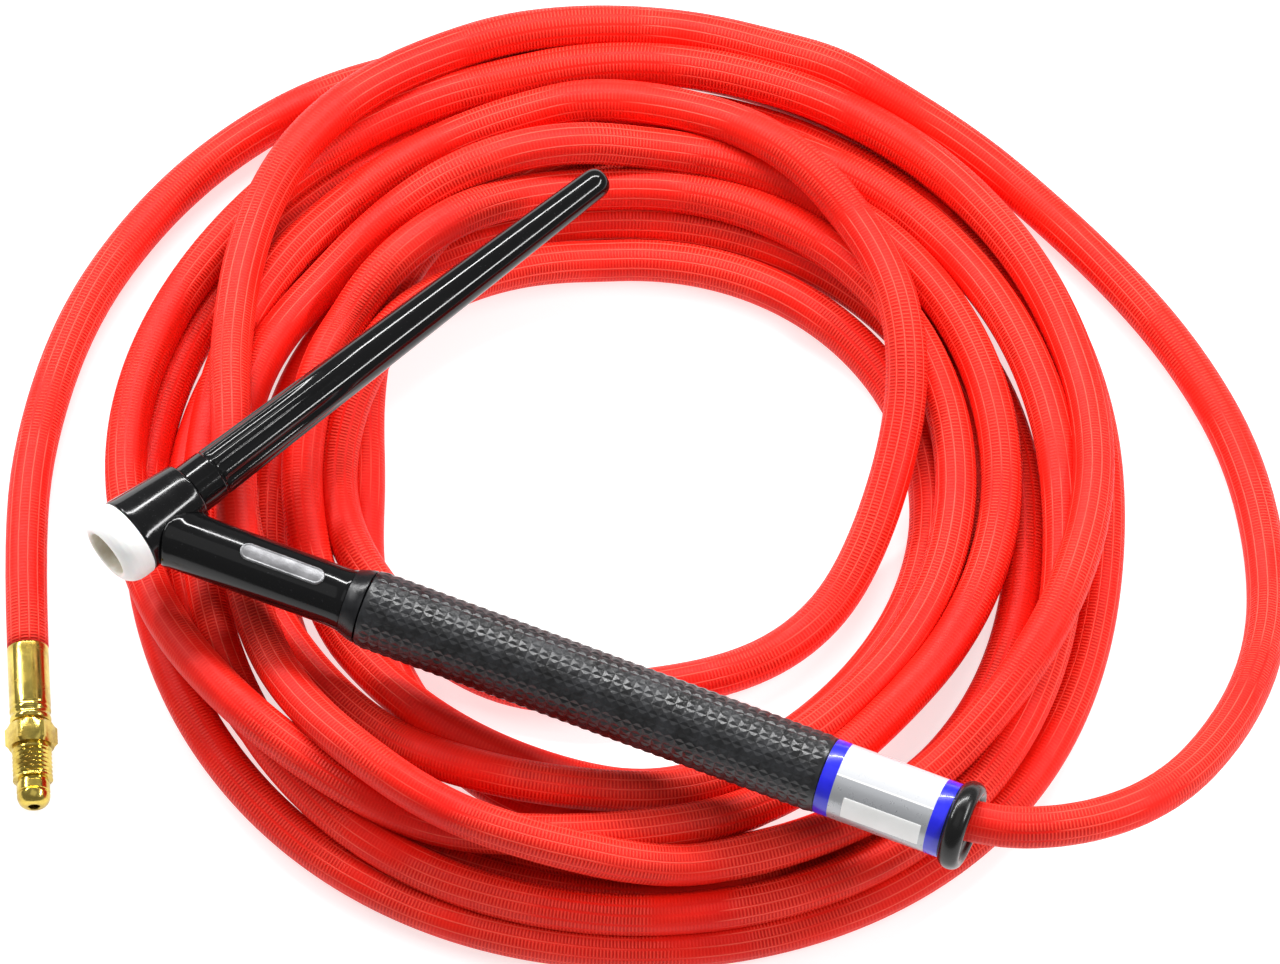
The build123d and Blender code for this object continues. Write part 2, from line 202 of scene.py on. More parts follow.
def cable_line():
    """The cable's centreline: one smooth spline through the lead, the coil and the tail."""
    route = LEAD + coil_points()[::-1] + TAIL
    data = bpy.data.curves.new("cable_line", "CURVE")
    data.dimensions = "3D"
    data.resolution_u = 6
    spline = data.splines.new("NURBS")
    spline.points.add(len(route) - 1)
    for point, place in zip(spline.points, route):
        point.co = (*(Vector(place) * MM), 1)
    spline.order_u = 3
    spline.use_endpoint_u = True
    curve = bpy.data.objects.new("cable_line", data)
    bpy.context.scene.collection.objects.link(curve)
    bpy.context.view_layer.update()
    mesh = bpy.data.meshes.new_from_object(curve)
    line = [vertex.co.copy() for vertex in mesh.vertices]
    bpy.data.objects.remove(curve)
    bpy.data.meshes.remove(mesh)
    return line


# ---------------------------------------------------------------- mesh helpers
def add(name, mesh, material, body, replaced=(), sharp=38):
    """A finished piece: linked, smooth-shaded up to an angle, riding on its body."""
    mesh.polygons.foreach_set("use_smooth", [True] * len(mesh.polygons))
    if sharp:
        mesh.set_sharp_from_angle(angle=math.radians(sharp))
    mesh.materials.append(material)
    piece = bpy.data.objects.new(name, mesh)
    bpy.context.scene.collection.objects.link(piece)
    if body:
        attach(piece, body)
    if replaced:
        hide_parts(*replaced)
    return piece


def ring_mesh(name, rings, along, closed=False):
    """Quads through rings of points, welded where a ring closes to a point or a line.

    The UV map holds the distance along the surface, in metres, and the share of a turn.
    """
    rows, columns = len(rings), len(rings[0])
    points = [tuple(point) for ring in rings for point in ring]
    faces, corners = [], []
    for i in range(rows if closed else rows - 1):
        for j in range(columns):
            after, beside = (i + 1) % rows, (j + 1) % columns
            faces.append((i * columns + j, after * columns + j,
                          after * columns + beside, i * columns + beside))
            u0, u1, v0, v1 = along[i], along[i + 1], j / columns, (j + 1) / columns
            corners += [u0, v0, u1, v0, u1, v1, u0, v1]
    mesh = bpy.data.meshes.new(name)
    mesh.from_pydata(points, [], faces)
    mesh.uv_layers.new(name="surface").data.foreach_set("uv", corners)
    work = bmesh.new()
    work.from_mesh(mesh)
    bmesh.ops.remove_doubles(work, verts=work.verts, dist=0.002 * MM)
    bmesh.ops.recalc_face_normals(work, faces=work.faces)
    work.to_mesh(mesh)
    work.free()
    return mesh


def rounded(outline, radius, steps=4, closed=True):
    """An outline of (distance, radius) points with its corners rounded off."""
    points = [Vector(point) for point in outline]
    result = []
    for i, here in enumerate(points):
        if not closed and i in (0, len(points) - 1):
            result.append(here)
            continue
        before, after = points[i - 1], points[(i + 1) % len(points)]
        cut = min(radius, 0.45 * (here - before).length, 0.45 * (after - here).length)
        start = here + (before - here).normalized() * cut
        end = here + (after - here).normalized() * cut
        for k in range(steps + 1):
            t = k / steps
            result.append(start * (1 - t) ** 2 + here * 2 * t * (1 - t) + end * t * t)
    return result


def turned(name, outline, place, columns=64, warp=None, step=None, closed=True):
    """A mesh turned about local Z from an outline in mm.

    warp(distance, angle, radius) gives the radius there, and step cuts up long runs.
    """
    points = [Vector(point) for point in outline]
    if step:
        finer = []
        for here, after in zip(points, points[1:] + points[:1] * closed):
            parts = max(1, math.ceil((after - here).length / step))
            finer += [here.lerp(after, k / parts) for k in range(parts)]
        points = finer if closed else finer + [points[-1]]
    rings, along = [], [0.0]
    for i, point in enumerate(points):
        ring = []
        for j in range(columns):
            angle = TURN * j / columns
            radius = warp(point.x, angle, point.y) if warp else point.y
            ring.append(point_at(place, radius, angle, point.x))
        rings.append(ring)
        along.append(along[-1] + (points[(i + 1) % len(points)] - point).length * MM)
    return ring_mesh(name, rings, along, closed)


def plate(name, place, radius, centre, size, corner, levels):
    """A rounded plate bent round local Z.

    centre is (distance, angle), size is (length, width), and levels are pairs of how far
    in from the edge and how high above the radius, from the middle of the underside.
    """
    rings, along = [], [0.0]
    for inset, height in levels:
        half_length, half_width = size[0] / 2 - inset, size[1] / 2 - inset
        round_r = min(max(corner - inset, 0.0), half_length, half_width)
        arcs = []
        corners = ((1, 1), (-1, 1), (-1, -1), (1, -1))
        for quarter, (length_sign, width_sign) in enumerate(corners):
            middle = Vector(((half_length - round_r) * length_sign,
                             (half_width - round_r) * width_sign))
            arcs.append([middle + Vector((math.cos(angle), math.sin(angle))) * round_r
                         for angle in (TURN / 4 * (quarter + k / 6) for k in range(7))])
        edge = []
        for arc, after in zip(arcs, arcs[1:] + arcs[:1]):
            edge += arc + [arc[-1].lerp(after[0], k / 10) for k in range(1, 10)]
        ring = []
        for point in edge:
            angle = centre[1] + point.y / radius
            ring.append(point_at(place, radius + height, angle, centre[0] + point.x))
        rings.append(ring)
        along.append(along[-1] + MM)
    return ring_mesh(name, rings, along)


def smooth(value, start, end):
    """From 0 at start to 1 at end, level at both."""
    t = min(max((value - start) / (end - start), 0.0), 1.0)
    return t * t * (3 - 2 * t)


# ---------------------------------------------------------------- material helpers
class Paint:
    """A node material with one Principled shader, built up by short calls."""

    def __init__(self, name, color, roughness, **values):
        self.material = bpy.data.materials.new(name)
        self.material.use_nodes = True
        self.tree = self.material.node_tree
        self.shader = self.tree.nodes["Principled BSDF"]
        self.set("Base Color", (*color, 1))
        self.set("Roughness", roughness)
        for key, value in values.items():
            self.set(key.replace("_", " "), value)

    def set(self, socket, value):
        self.shader.inputs[socket].default_value = value

    def node(self, kind, **values):
        made = self.tree.nodes.new(kind)
        for key, value in values.items():
            setattr(made, key, value)
        return made

    def link(self, source, target):
        self.tree.links.new(source, target)

    def places(self):
        """Object coordinates, in metres."""
        return self.node("ShaderNodeTexCoord").outputs["Object"]

    def noise(self, scale, detail=4, roughness=0.55, stretch=None):
        """Noise from 0 to 1, scale cells to a metre, stretched if asked."""
        texture = self.node("ShaderNodeTexNoise")
        texture.inputs["Scale"].default_value = scale
        texture.inputs["Detail"].default_value = detail
        texture.inputs["Roughness"].default_value = roughness
        source = self.places()
        if stretch:
            mapping = self.node("ShaderNodeMapping")
            mapping.inputs["Scale"].default_value = stretch
            self.link(source, mapping.inputs["Vector"])
            source = mapping.outputs["Vector"]
        self.link(source, texture.inputs["Vector"])
        return texture.outputs["Fac"]

    def surface(self):
        """Metres along the surface, and the share of a turn round it."""
        split = self.node("ShaderNodeSeparateXYZ")
        self.link(self.node("ShaderNodeUVMap", uv_map="surface").outputs["UV"],
                  split.inputs["Vector"])
        return split.outputs["X"], split.outputs["Y"]

    def rings(self, scale, detail=3):
        """Noise that runs round a turned surface, as tool marks do."""
        along, around = self.surface()
        joined = self.node("ShaderNodeCombineXYZ")
        self.link(self.math("MULTIPLY", along, scale), joined.inputs["X"])
        self.link(around, joined.inputs["Y"])
        texture = self.node("ShaderNodeTexNoise")
        texture.inputs["Scale"].default_value = 1.0
        texture.inputs["Detail"].default_value = detail
        self.link(joined.outputs["Vector"], texture.inputs["Vector"])
        return texture.outputs["Fac"]

    def ramp(self, source, low, high, start=0.0, end=1.0):
        """source from start to end, mapped to low to high."""
        made = self.node("ShaderNodeMapRange")
        made.inputs["From Min"].default_value = start
        made.inputs["From Max"].default_value = end
        made.inputs["To Min"].default_value = low
        made.inputs["To Max"].default_value = high
        self.link(source, made.inputs["Value"])
        return made.outputs["Result"]

    def math(self, operation, *sources):
        """One sum, product or other step on sockets or numbers."""
        made = self.node("ShaderNodeMath", operation=operation)
        for socket, source in zip(made.inputs, sources):
            if isinstance(source, (int, float)):
                socket.default_value = source
            else:
                self.link(source, socket)
        return made.outputs[0]

    def mix(self, factor, first, second):
        """Between two colours, or colour sockets."""
        made = self.node("ShaderNodeMix", data_type="RGBA")
        self.link(factor, made.inputs["Factor"])
        for socket, source in ((made.inputs["A"], first), (made.inputs["B"], second)):
            if isinstance(source, tuple):
                socket.default_value = (*source, 1)
            else:
                self.link(source, socket)
        return made.outputs["Result"]

    def color(self, source):
        self.link(source, self.shader.inputs["Base Color"])

    def roughness(self, source):
        self.link(source, self.shader.inputs["Roughness"])

    def bump(self, height, depth, strength=1.0):
        """height from 0 to 1 stands depth millimetres proud."""
        made = self.node("ShaderNodeBump")
        made.inputs["Strength"].default_value = strength
        made.inputs["Distance"].default_value = depth * MM
        self.link(height, made.inputs["Height"])
        last = self.shader.inputs["Normal"]
        if last.is_linked:
            self.link(last.links[0].from_socket, made.inputs["Normal"])
        self.link(made.outputs["Normal"], last)


# ---------------------------------------------------------------- finishes
def woven_red():
    """Woven nylon: fine cross ribs with painted shade in their gaps and painted highlights on
    their crests, lengthwise pleats, a raised lengthwise thread coloured as a painted highlight, a
    little uneven and dusty.
    """
    paint = Paint("woven_red", (0.8, 0.02, 0.01), 0.5, Specular_IOR_Level=0.2)
    along, around = paint.surface()
    sway = paint.math("MULTIPLY", paint.noise(45, detail=2), 1.2 * MM)
    shifted = paint.math("ADD", along, sway)
    ribs = paint.math("SINE", paint.math("MULTIPLY", shifted, TURN / (0.95 * MM)))
    ribs = paint.ramp(ribs, 0, 1, -0.7, 0.7)
    drift = paint.math("MULTIPLY", paint.noise(9, detail=2), 1.5)
    bands = paint.math("ADD", paint.math("MULTIPLY", around, WOVEN_ROWS), drift)
    across = paint.math("PINGPONG", bands, 0.5)
    comb = paint.ramp(across, 0, 1, 0.06, 0.2)
    comb = paint.math("MULTIPLY", comb, paint.ramp(paint.noise(32, detail=1), 0.2, 1, 0.42, 0.56))
    # thread: a raised lengthwise line, whose lighter colour further down is a painted highlight
    thread = paint.math("MULTIPLY", paint.ramp(across, 1, 0, 0.02, 0.1),
                        paint.ramp(paint.noise(20, detail=1), 0, 1, 0.45, 0.52))
    paint.bump(paint.math("MULTIPLY", ribs, comb), 0.16)
    paint.bump(thread, 0.10)
    paint.bump(paint.noise(2400, detail=3), 0.04)
    blotch = paint.ramp(paint.noise(30, detail=5), 0, 1, 0.3, 0.7)
    base = paint.mix(blotch, (0.72, 0.006, 0.002), (0.90, 0.013, 0.004))
    # painted shade: the gaps between the ribs are coloured dark red
    rib_gap_shade = paint.math("MULTIPLY", paint.ramp(ribs, 0.42, 0, 0.0, 0.5), comb)
    rib_shaded = paint.mix(rib_gap_shade, base, (0.34, 0.0, 0.0))
    # painted highlight: the rib crests are coloured pinkish red
    rib_crest_highlight = paint.math("MULTIPLY", paint.ramp(ribs, 0, 0.38, 0.5, 1.0), comb)
    lit = paint.mix(rib_crest_highlight, rib_shaded, (1.0, 0.12, 0.07))
    # the thread is coloured pinkish as a painted highlight
    paint.color(paint.mix(paint.math("MULTIPLY", thread, 0.55), lit, (1.0, 0.15, 0.10)))
    paint.roughness(paint.ramp(paint.noise(500, detail=4), 0.4, 0.62))
    return paint.material


def gloss_black(name, shade, smoothest, roughest):
    """Moulded black plastic: polished, with faint ripples, handling marks and dust."""
    paint = Paint(name, (shade, shade, shade * 1.08), smoothest,
                  Coat_Weight=0.12, Coat_Roughness=0.05, Specular_IOR_Level=0.26)
    marks = paint.ramp(paint.noise(90, detail=6, roughness=0.7), 0, 1, 0.42, 0.72)
    paint.roughness(paint.ramp(marks, smoothest, roughest))
    dust = paint.ramp(paint.noise(1500, detail=2), 0, 1, 0.66, 0.8)
    paint.color(paint.mix(paint.math("MULTIPLY", dust, 0.35), (shade, shade, shade * 1.08),
                          (0.05, 0.05, 0.055)))
    paint.bump(paint.noise(240, detail=2), 0.02)
    paint.bump(paint.noise(3000, detail=2), 0.004)
    return paint.material


def satin_black():
    """Fine-grained black moulding, rubbed a little lighter where it is handled."""
    paint = Paint("satin_black", (0.008, 0.008, 0.009), 0.36, Specular_IOR_Level=0.35)
    rub = paint.ramp(paint.noise(120, detail=6), 0, 1, 0.4, 0.7)
    paint.color(paint.mix(rub, (0.005, 0.005, 0.006), (0.015, 0.0155, 0.017)))
    paint.roughness(paint.ramp(rub, 0.26, 0.42))
    paint.bump(paint.noise(2200, detail=3), 0.02)
    return paint.material


def grip_rubber():
    """Soft matt rubber, grey-blue with handling and finely grained."""
    paint = Paint("grip_rubber", (0.01, 0.01, 0.012), 0.4, Specular_IOR_Level=0.6)
    worn = paint.ramp(paint.noise(160, detail=7, roughness=0.65), 0, 1, 0.38, 0.68)
    paint.color(paint.mix(worn, (0.003, 0.003, 0.0035), (0.016, 0.017, 0.020)))
    paint.roughness(paint.ramp(worn, 0.28, 0.44))
    paint.bump(paint.noise(420, detail=2), 0.16)
    paint.bump(paint.noise(1900, detail=4), 0.06)
    return paint.material


def bead_rubber(name, shade):
    """Smooth rubber with a soft shine."""
    paint = Paint(name, (shade, shade, shade), 0.22, Coat_Weight=0.1, Coat_Roughness=0.1,
                  Specular_IOR_Level=0.32)
    marks = paint.ramp(paint.noise(140, detail=5), 0, 1, 0.4, 0.7)
    paint.roughness(paint.ramp(marks, 0.18, 0.36))
    paint.bump(paint.noise(1400, detail=3), 0.012)
    return paint.material


def white_gasket():
    """White heat shield, creamier, and browner in mottled patches inside its bore and towards its
    mouth.
    """
    paint = Paint("white_gasket", (0.86, 0.86, 0.84), 0.38, Subsurface_Weight=0.08,
                  Subsurface_Scale=0.002, Specular_IOR_Level=0.4)
    split = paint.node("ShaderNodeSeparateXYZ")
    turned_way = paint.node("ShaderNodeMapping", vector_type="POINT")
    turned_way.inputs["Rotation"].default_value = (0, 0, -CAP_ANGLE)
    paint.link(paint.places(), turned_way.inputs["Vector"])
    paint.link(turned_way.outputs["Vector"], split.inputs["Vector"])
    off_axis = paint.math("SQRT", paint.math(
        "ADD", paint.math("POWER", split.outputs["Y"], 2.0),
        paint.math("POWER", split.outputs["Z"], 2.0)))
    # browner inside the bore, in mottled patches
    inside = paint.ramp(off_axis, 1, 0, 6.7 * MM, 7.6 * MM)
    bore_mottle = paint.ramp(paint.noise(220, detail=6), 0.2, 1, 0.35, 0.7)
    paint.color(paint.mix(paint.math("MULTIPLY", inside, bore_mottle), (0.86, 0.86, 0.845),
                          (0.62, 0.56, 0.42)))
    paint.roughness(paint.ramp(paint.noise(300, detail=4), 0.3, 0.5))
    paint.bump(paint.noise(700, detail=4), 0.03)
    return paint.material


def brass(name, tool_marks):
    """Yellow brass: turned or crimped, with brown tarnish in streaks and fine tool marks."""
    paint = Paint(name, (0.62, 0.48, 0.11), 0.24, Metallic=1.0)
    tarnish = paint.ramp(paint.noise(130, detail=6, roughness=0.65), 0, 1, 0.40, 0.68)
    lines = paint.rings(9000) if tool_marks else paint.noise(1800, detail=3)
    paint.color(paint.mix(tarnish, (0.70, 0.54, 0.12), (0.34, 0.21, 0.035)))
    paint.roughness(paint.math("ADD", paint.ramp(tarnish, 0.14, 0.34),
                               paint.ramp(lines, -0.03, 0.05)))
    paint.bump(lines, 0.012)
    return paint.material


def badge_metal():
    """Brushed gunmetal plate, lighter where the brushing catches the light."""
    paint = Paint("badge_metal", (0.2, 0.2, 0.21), 0.4, Metallic=0.85)
    brushed = paint.noise(700, detail=3, stretch=(0.06, 1.6, 1.6))
    worn = paint.ramp(paint.noise(260, detail=5), 0, 1, 0.4, 0.75)
    paint.color(paint.mix(worn, (0.15, 0.15, 0.155), (0.30, 0.30, 0.31)))
    paint.roughness(paint.ramp(brushed, 0.34, 0.52))
    paint.bump(brushed, 0.02)
    return paint.material


def label_foil():
    """Glossy printed wrap, painted with light: white on top as a painted reflection, silver grey
    in painted shade on one side, a painted highlight line between.
    """
    paint = Paint("label_foil", (0.6, 0.6, 0.6), 0.3, Coat_Weight=0.5, Coat_Roughness=0.1)
    around = paint.surface()[1]
    past = paint.ramp(around, 0, 1, LABEL_HIGHLIGHT_ANGLE / TURN, LABEL_HIGHLIGHT_ANGLE / TURN + EDGE)
    ended = paint.ramp(around, 1, 0, LABEL_SHADE_END, LABEL_SHADE_END + EDGE)
    # grey: the side painted in shade as silver grey; the rest is painted white as a lit reflection
    grey = paint.math("MULTIPLY", past, ended)
    from_highlight_line = paint.math("ABSOLUTE",
                           paint.math("SUBTRACT", around, LABEL_HIGHLIGHT_ANGLE / TURN + 0.001))
    # line: a painted highlight where the white and the grey meet
    line = paint.ramp(from_highlight_line, 1, 0, 0.002, 0.0045)
    cloud = paint.ramp(paint.noise(90, detail=4), 0.94, 1.0, 0.3, 0.7)
    # painted reflection: white where lit, silver grey where in shade
    painted_reflection = paint.mix(grey, (0.60, 0.61, 0.63), (0.42, 0.43, 0.45))
    shaded = paint.mix(cloud, (0.55, 0.55, 0.58), painted_reflection)
    paint.color(paint.mix(line, shaded, (0.95, 0.95, 0.95)))
    paint.link(paint.ramp(grey, 0.05, 0.4), paint.shader.inputs["Metallic"])
    paint.roughness(paint.ramp(paint.noise(500, detail=3), 0.22, 0.36))
    paint.bump(paint.noise(60, detail=0), 0.01)
    return paint.material


def glossy_print(name, color, darker, coat=1.0):
    """Printed film or paper under a clear cover."""
    paint = Paint(name, color, 0.3, Coat_Weight=coat, Coat_Roughness=0.04)
    paint.color(paint.mix(paint.ramp(paint.noise(140, detail=5), 0, 1, 0.35, 0.7), color, darker))
    paint.roughness(paint.ramp(paint.noise(600, detail=3), 0.24, 0.4))
    paint.bump(paint.noise(900, detail=3), 0.01)
    return paint.material


def plain(name, color, roughness, metallic=0.0):
    """A hidden part's finish: its colour and shine, uneven and finely marked."""
    paint = Paint(name, color, roughness, Metallic=metallic)
    darker = tuple(value * 0.6 for value in color)
    spread = paint.ramp(paint.noise(180, detail=6), 0, 1, 0.3, 0.75)
    paint.color(paint.mix(spread, color, darker))
    paint.roughness(paint.ramp(spread, roughness * 0.8, min(roughness * 1.4, 1.0)))
    paint.bump(paint.noise(1600, detail=3), 0.012)
    return paint.material


# ---------------------------------------------------------------- cable
RIDGES = 5                           # lengthwise pleats of the woven cover
WOVEN_ROWS = 13                      # rows of ribs round it
PLEAT_DEPTH = 0.030                  # as a share of the radius
RING_STEP = 3.0 * MM
CABLE_COLUMNS = 36


def evenly(line, step):
    """Points a step apart along a line, with both its ends, and how far along they are."""
    places = np.array([tuple(point) for point in line])
    at = np.concatenate([[0], np.cumsum(np.linalg.norm(np.diff(places, axis=0), axis=1))])
    wanted = np.linspace(0, at[-1], int(at[-1] / step) + 1)
    spread = [np.interp(wanted, at, places[:, k]) for k in range(3)]
    return [Vector(point) for point in zip(*spread)], wanted.tolist()


def make_cable(with_pieces):
    """The woven cover along the whole cable, as one tube with lengthwise pleats."""
    centres, at = evenly(cable_line(), RING_STEP)
    rings = []
    side = Vector((0, 0, 1))
    for i, centre in enumerate(centres):
        way = (centres[min(i + 1, len(centres) - 1)] - centres[max(i - 1, 0)]).normalized()
        side = (side - way * side.dot(way)).normalized()
        other = way.cross(side)
        ring = []
        for j in range(CABLE_COLUMNS):
            angle = TURN * j / CABLE_COLUMNS
            pleat = abs(math.sin(angle * RIDGES / 2)) ** 0.5
            radius = CABLE_D / 2 * (1 - PLEAT_DEPTH * (1 - pleat))
            ring.append(centre + (side * math.cos(angle) + other * math.sin(angle)) * radius)
        rings.append(ring)
    ends = [[centre] * CABLE_COLUMNS for centre in (centres[0], centres[-1])]
    mesh = ring_mesh("cable_cover", ends[:1] + rings + ends[1:], [at[0]] + at + [at[-1]])
    cable = add("cable_cover", mesh, woven_red(), "handle",
                ("cable_lead", "cable_coil", "cable_tail"), sharp=0)


# ---------------------------------------------------------------- machine end
END_POINT = Vector(TAIL[-1])
END_WAY = END_POINT - Vector(TAIL[-2])
MACHINE = axes((END_WAY.x, END_WAY.y, 0), END_POINT * MM)
FERRULE_LENGTH, FERRULE_R = 22.6, 5.7
HEX_START, HEX_FLATS, THREAD_START, THREAD_R = 23.5, 12.4, 29.9, 5.5
THREAD_PITCH, THREAD_DEPTH = 1.27, 0.62
NOSE_START, NOSE_R, NOSE_TIP = 39.9, 4.6, 47.5


def make_machine_end():
    """Crimped ferrule, then hexagon, thread and rounded nose, all in brass."""
    def crimped(at, angle, radius):
        flats = 0.022 * abs(math.sin(4 * angle)) * smooth(at, 1.2, 3.2) * smooth(at, 19, 16)
        return radius * (1 - flats) if radius > 5.2 else radius

    outline = [(0, 4.9), (0, 5.45), (0.4, FERRULE_R), (1.4, FERRULE_R)]
    for groove, width, depth in ((18.2, 0.5, 0.07), (20.3, 0.8, 0.34)):
        outline += [(groove - width, FERRULE_R), (groove - width / 2, FERRULE_R - depth),
                    (groove + width / 2, FERRULE_R - depth), (groove + width, FERRULE_R)]
    outline += [(FERRULE_LENGTH - 0.5, FERRULE_R), (FERRULE_LENGTH, 5.3), (FERRULE_LENGTH, 4.9)]
    mesh = turned("machine_end_crimp", rounded(outline, 0.25, 3), MACHINE, 96, crimped, 1.0)
    ferrule = add("machine_end_crimp", mesh, brass("crimped_brass", False), "handle",
                  ("machine_end_ferrule",), sharp=30)

    def cut(at, angle, radius):
        if radius > 6.0 and HEX_START - 0.01 <= at <= THREAD_START + 0.01:
            flat = (angle + TURN / 12) % (TURN / 6) - TURN / 12
            return min(radius, HEX_FLATS / 2 / math.cos(flat))
        if abs(radius - THREAD_R) < 0.01:
            turn = (at / THREAD_PITCH - angle / TURN) % 1.0
            ends = smooth(at, THREAD_START + 1.0, THREAD_START + 1.8) * smooth(
                at, NOSE_START - 0.4, NOSE_START - 1.2)
            return radius - THREAD_DEPTH * ends * abs(2 * turn - 1) ** 0.9
        return radius

    outline = [(1.0, 1.6), (1.0, 4.85), (FERRULE_LENGTH, 4.85), (FERRULE_LENGTH + 0.3, 4.5),
               (HEX_START - 0.1, 4.5), (HEX_START, 6.15), (HEX_START + 0.9, 7.25),
               (THREAD_START - 0.9, 7.25), (THREAD_START, 6.15), (THREAD_START + 0.05, 4.9),
               (THREAD_START + 0.7, 4.9), (THREAD_START + 0.9, THREAD_R)]
    outline += [(THREAD_START + 0.9 + 0.1 * k, THREAD_R)
                for k in range(1, round(10 * (NOSE_START - THREAD_START - 1.2)))]
    outline += [(NOSE_START - 0.3, THREAD_R), (NOSE_START, 4.3), (NOSE_START + 0.9, 4.3),
                (NOSE_START + 1.1, NOSE_R), (NOSE_START + 3.3, NOSE_R), (NOSE_START + 3.6, 4.15),
                (NOSE_START + 4.0, 4.15), (NOSE_START + 4.2, NOSE_R)]
    ball = NOSE_TIP - NOSE_START - 4.2
    outline += [(NOSE_TIP - ball + ball * math.sin(a), NOSE_R - 2.6 * (1 - math.cos(a)))
                for a in (TURN / 4 * k / 8 for k in range(1, 9))]
    outline += [(NOSE_TIP, 1.75), (NOSE_TIP - 0.2, 1.6)]
    mesh = turned("machine_end_union", outline, MACHINE, 72, cut)
    union = add("machine_end_union", mesh, brass("turned_brass", True), "handle",
                ("machine_end_fitting",), sharp=24)
    return [ferrule, union]


# ---------------------------------------------------------------- head
JACKET = ((-4.9, 11.2), (15.7, 8.9))             # front and rear, with their radii
CORE_R, BOSS_R = 6.6, 4.6
PORT_PLAY, PORT_DEPTH = 0.02, 18     # of the hole that the core's boss comes out of


def jacket_radius(at):
    """The jacket's outside radius at a distance along the head's axis."""
    (front, front_r), (rear, rear_r) = JACKET
    return front_r + (rear_r - front_r) * (at - front) / (rear - front)


def make_head():
    """Insulated jacket with a port for the neck, and the white gasket on its front."""
    (front, front_r), (rear, rear_r) = JACKET
    outline = rounded([(front, CORE_R), (front, front_r), (rear, rear_r), (rear, CORE_R)], 0.7)
    mesh = turned("jacket_blank", outline, HEAD, 128, step=1.5)
    port_r = BOSS_R + PORT_PLAY
    port = turned("port_blank", [(0, 0), (0, port_r), (PORT_DEPTH, port_r), (PORT_DEPTH, 0)],
                  NECK, 48, closed=False)
    blank, tool = (bpy.data.objects.new(part.name, part) for part in (mesh, port))
    for part in (blank, tool):
        bpy.context.scene.collection.objects.link(part)
    cut = blank.modifiers.new("port", "BOOLEAN")
    cut.operation, cut.solver, cut.object = "DIFFERENCE", "EXACT", tool
    bpy.context.view_layer.update()
    drilled = bpy.data.meshes.new_from_object(
        blank.evaluated_get(bpy.context.evaluated_depsgraph_get()))
    for part in (blank, tool):
        bpy.data.objects.remove(part)
    add("head_insulation", drilled, gloss_black("jacket_black", 0.005, 0.10, 0.24), "head",
        ("head_jacket",))

    outline = [(-4.95, 6.2), (-4.95, 10.9), (-5.4, 11.2), (-8.2, 11.2), (-9.8, 11.0),
               (-11.2, 10.4), (-12.3, 9.5), (-13.0, 8.5), (-13.3, 7.6), (-13.15, 6.95),
               (-12.7, 6.65), (-11.6, 6.5), (-9.0, 6.4), (-9.0, 6.2)]
    mesh = turned("heat_shield", rounded(outline, 0.4, 3), HEAD, 96, step=0.8)
    add("heat_shield", mesh, white_gasket(), "head", ("cup_gasket",))


# ---------------------------------------------------------------- back cap
FLUTES, FLUTE_DEPTH = 10, 0.5
CAP_CONE = ((24.9, 7.1), (110.0, 5.4), (159.0, 4.3))


def make_cap():
    """Long cap: plain collar, flutes that run out, slim taper and a rounded tip."""
    def fluted(at, angle, radius):
        depth = FLUTE_DEPTH * smooth(at, 24.5, 25.1) * smooth(at, 78, 46)
        beside = abs((angle * FLUTES / TURN) % 1.0 - 0.5) * 2
        return radius - depth * max(0.0, 1 - (beside / 0.66) ** 2) if radius > 5.6 else radius

    outline = [(15.95, 6.75), (15.95, 7.0), (16.25, 7.3), (20, 7.3), (23.7, 7.25), (24.1, 6.95),
               (24.25, 6.72), (24.6, 6.72), (24.75, 6.95), (25.1, 7.09)]
    (start, start_r), (middle, middle_r), (end, end_r) = CAP_CONE
    outline += [(at, start_r + (middle_r - start_r) * (at - start) / (middle - start))
                for at in range(26, 80)]
    outline += [(90, 5.8), (100, 5.6), (middle, middle_r), (125, 5.07), (142, 4.68), (end, end_r)]
    outline += [(end + 3.9 * math.sin(a), end_r - 2.4 * (1 - math.cos(a)))
                for a in (TURN / 4 * k / 8 for k in range(1, 9))]
    outline += [(162.98, 0.9), (163.0, 0), (157, 0), (157, 2.6), (22, 2.6), (22, 4.95),
                (17.25, 4.95), (17.25, 6.75)]
    mesh = turned("long_cap", outline, HEAD, 160, fluted)
    add("long_cap", mesh, gloss_black("cap_black", 0.004, 0.07, 0.17), "cap",
        ("cap_body",), sharp=32)


# ---------------------------------------------------------------- neck
SLEEVE_R, SLEEVE_BORE_R, SLEEVE_END = 8.4, 3.4, 60.0
SLEEVE_COLUMNS = 96
FLARE_LENGTH, FLARE_HEIGHT = 5.0, 0.38
NECK_SPLIT = 40.0                    # under the badge, where the two halves of the sleeve meet
LIP_SEAT_R = 8.2                     # where the sleeve's start is measured
PAST_REAR, PAST_SIDE = 0.25, 0.12    # how far that start clears the jacket's cone
FARTHEST, HALVINGS = 24.0, 30        # for the search along the neck


def leaves_jacket(radius, angle):
    """How far along +X a line on the neck at this radius and angle comes out of the jacket."""
    y, z = -radius * math.sin(angle), radius * math.cos(angle)
    low, high = 0.0, FARTHEST
    for _ in range(HALVINGS):
        middle = (low + high) / 2
        at = middle * HEAD_AXIS.x + y * HEAD_AXIS.y
        across = math.hypot(middle * HEAD_AXIS.y - y * HEAD_AXIS.x, z)
        inside = at < JACKET[1][0] + PAST_REAR and across < jacket_radius(at) + PAST_SIDE
        low, high = (middle, high) if inside else (low, middle)
    return high


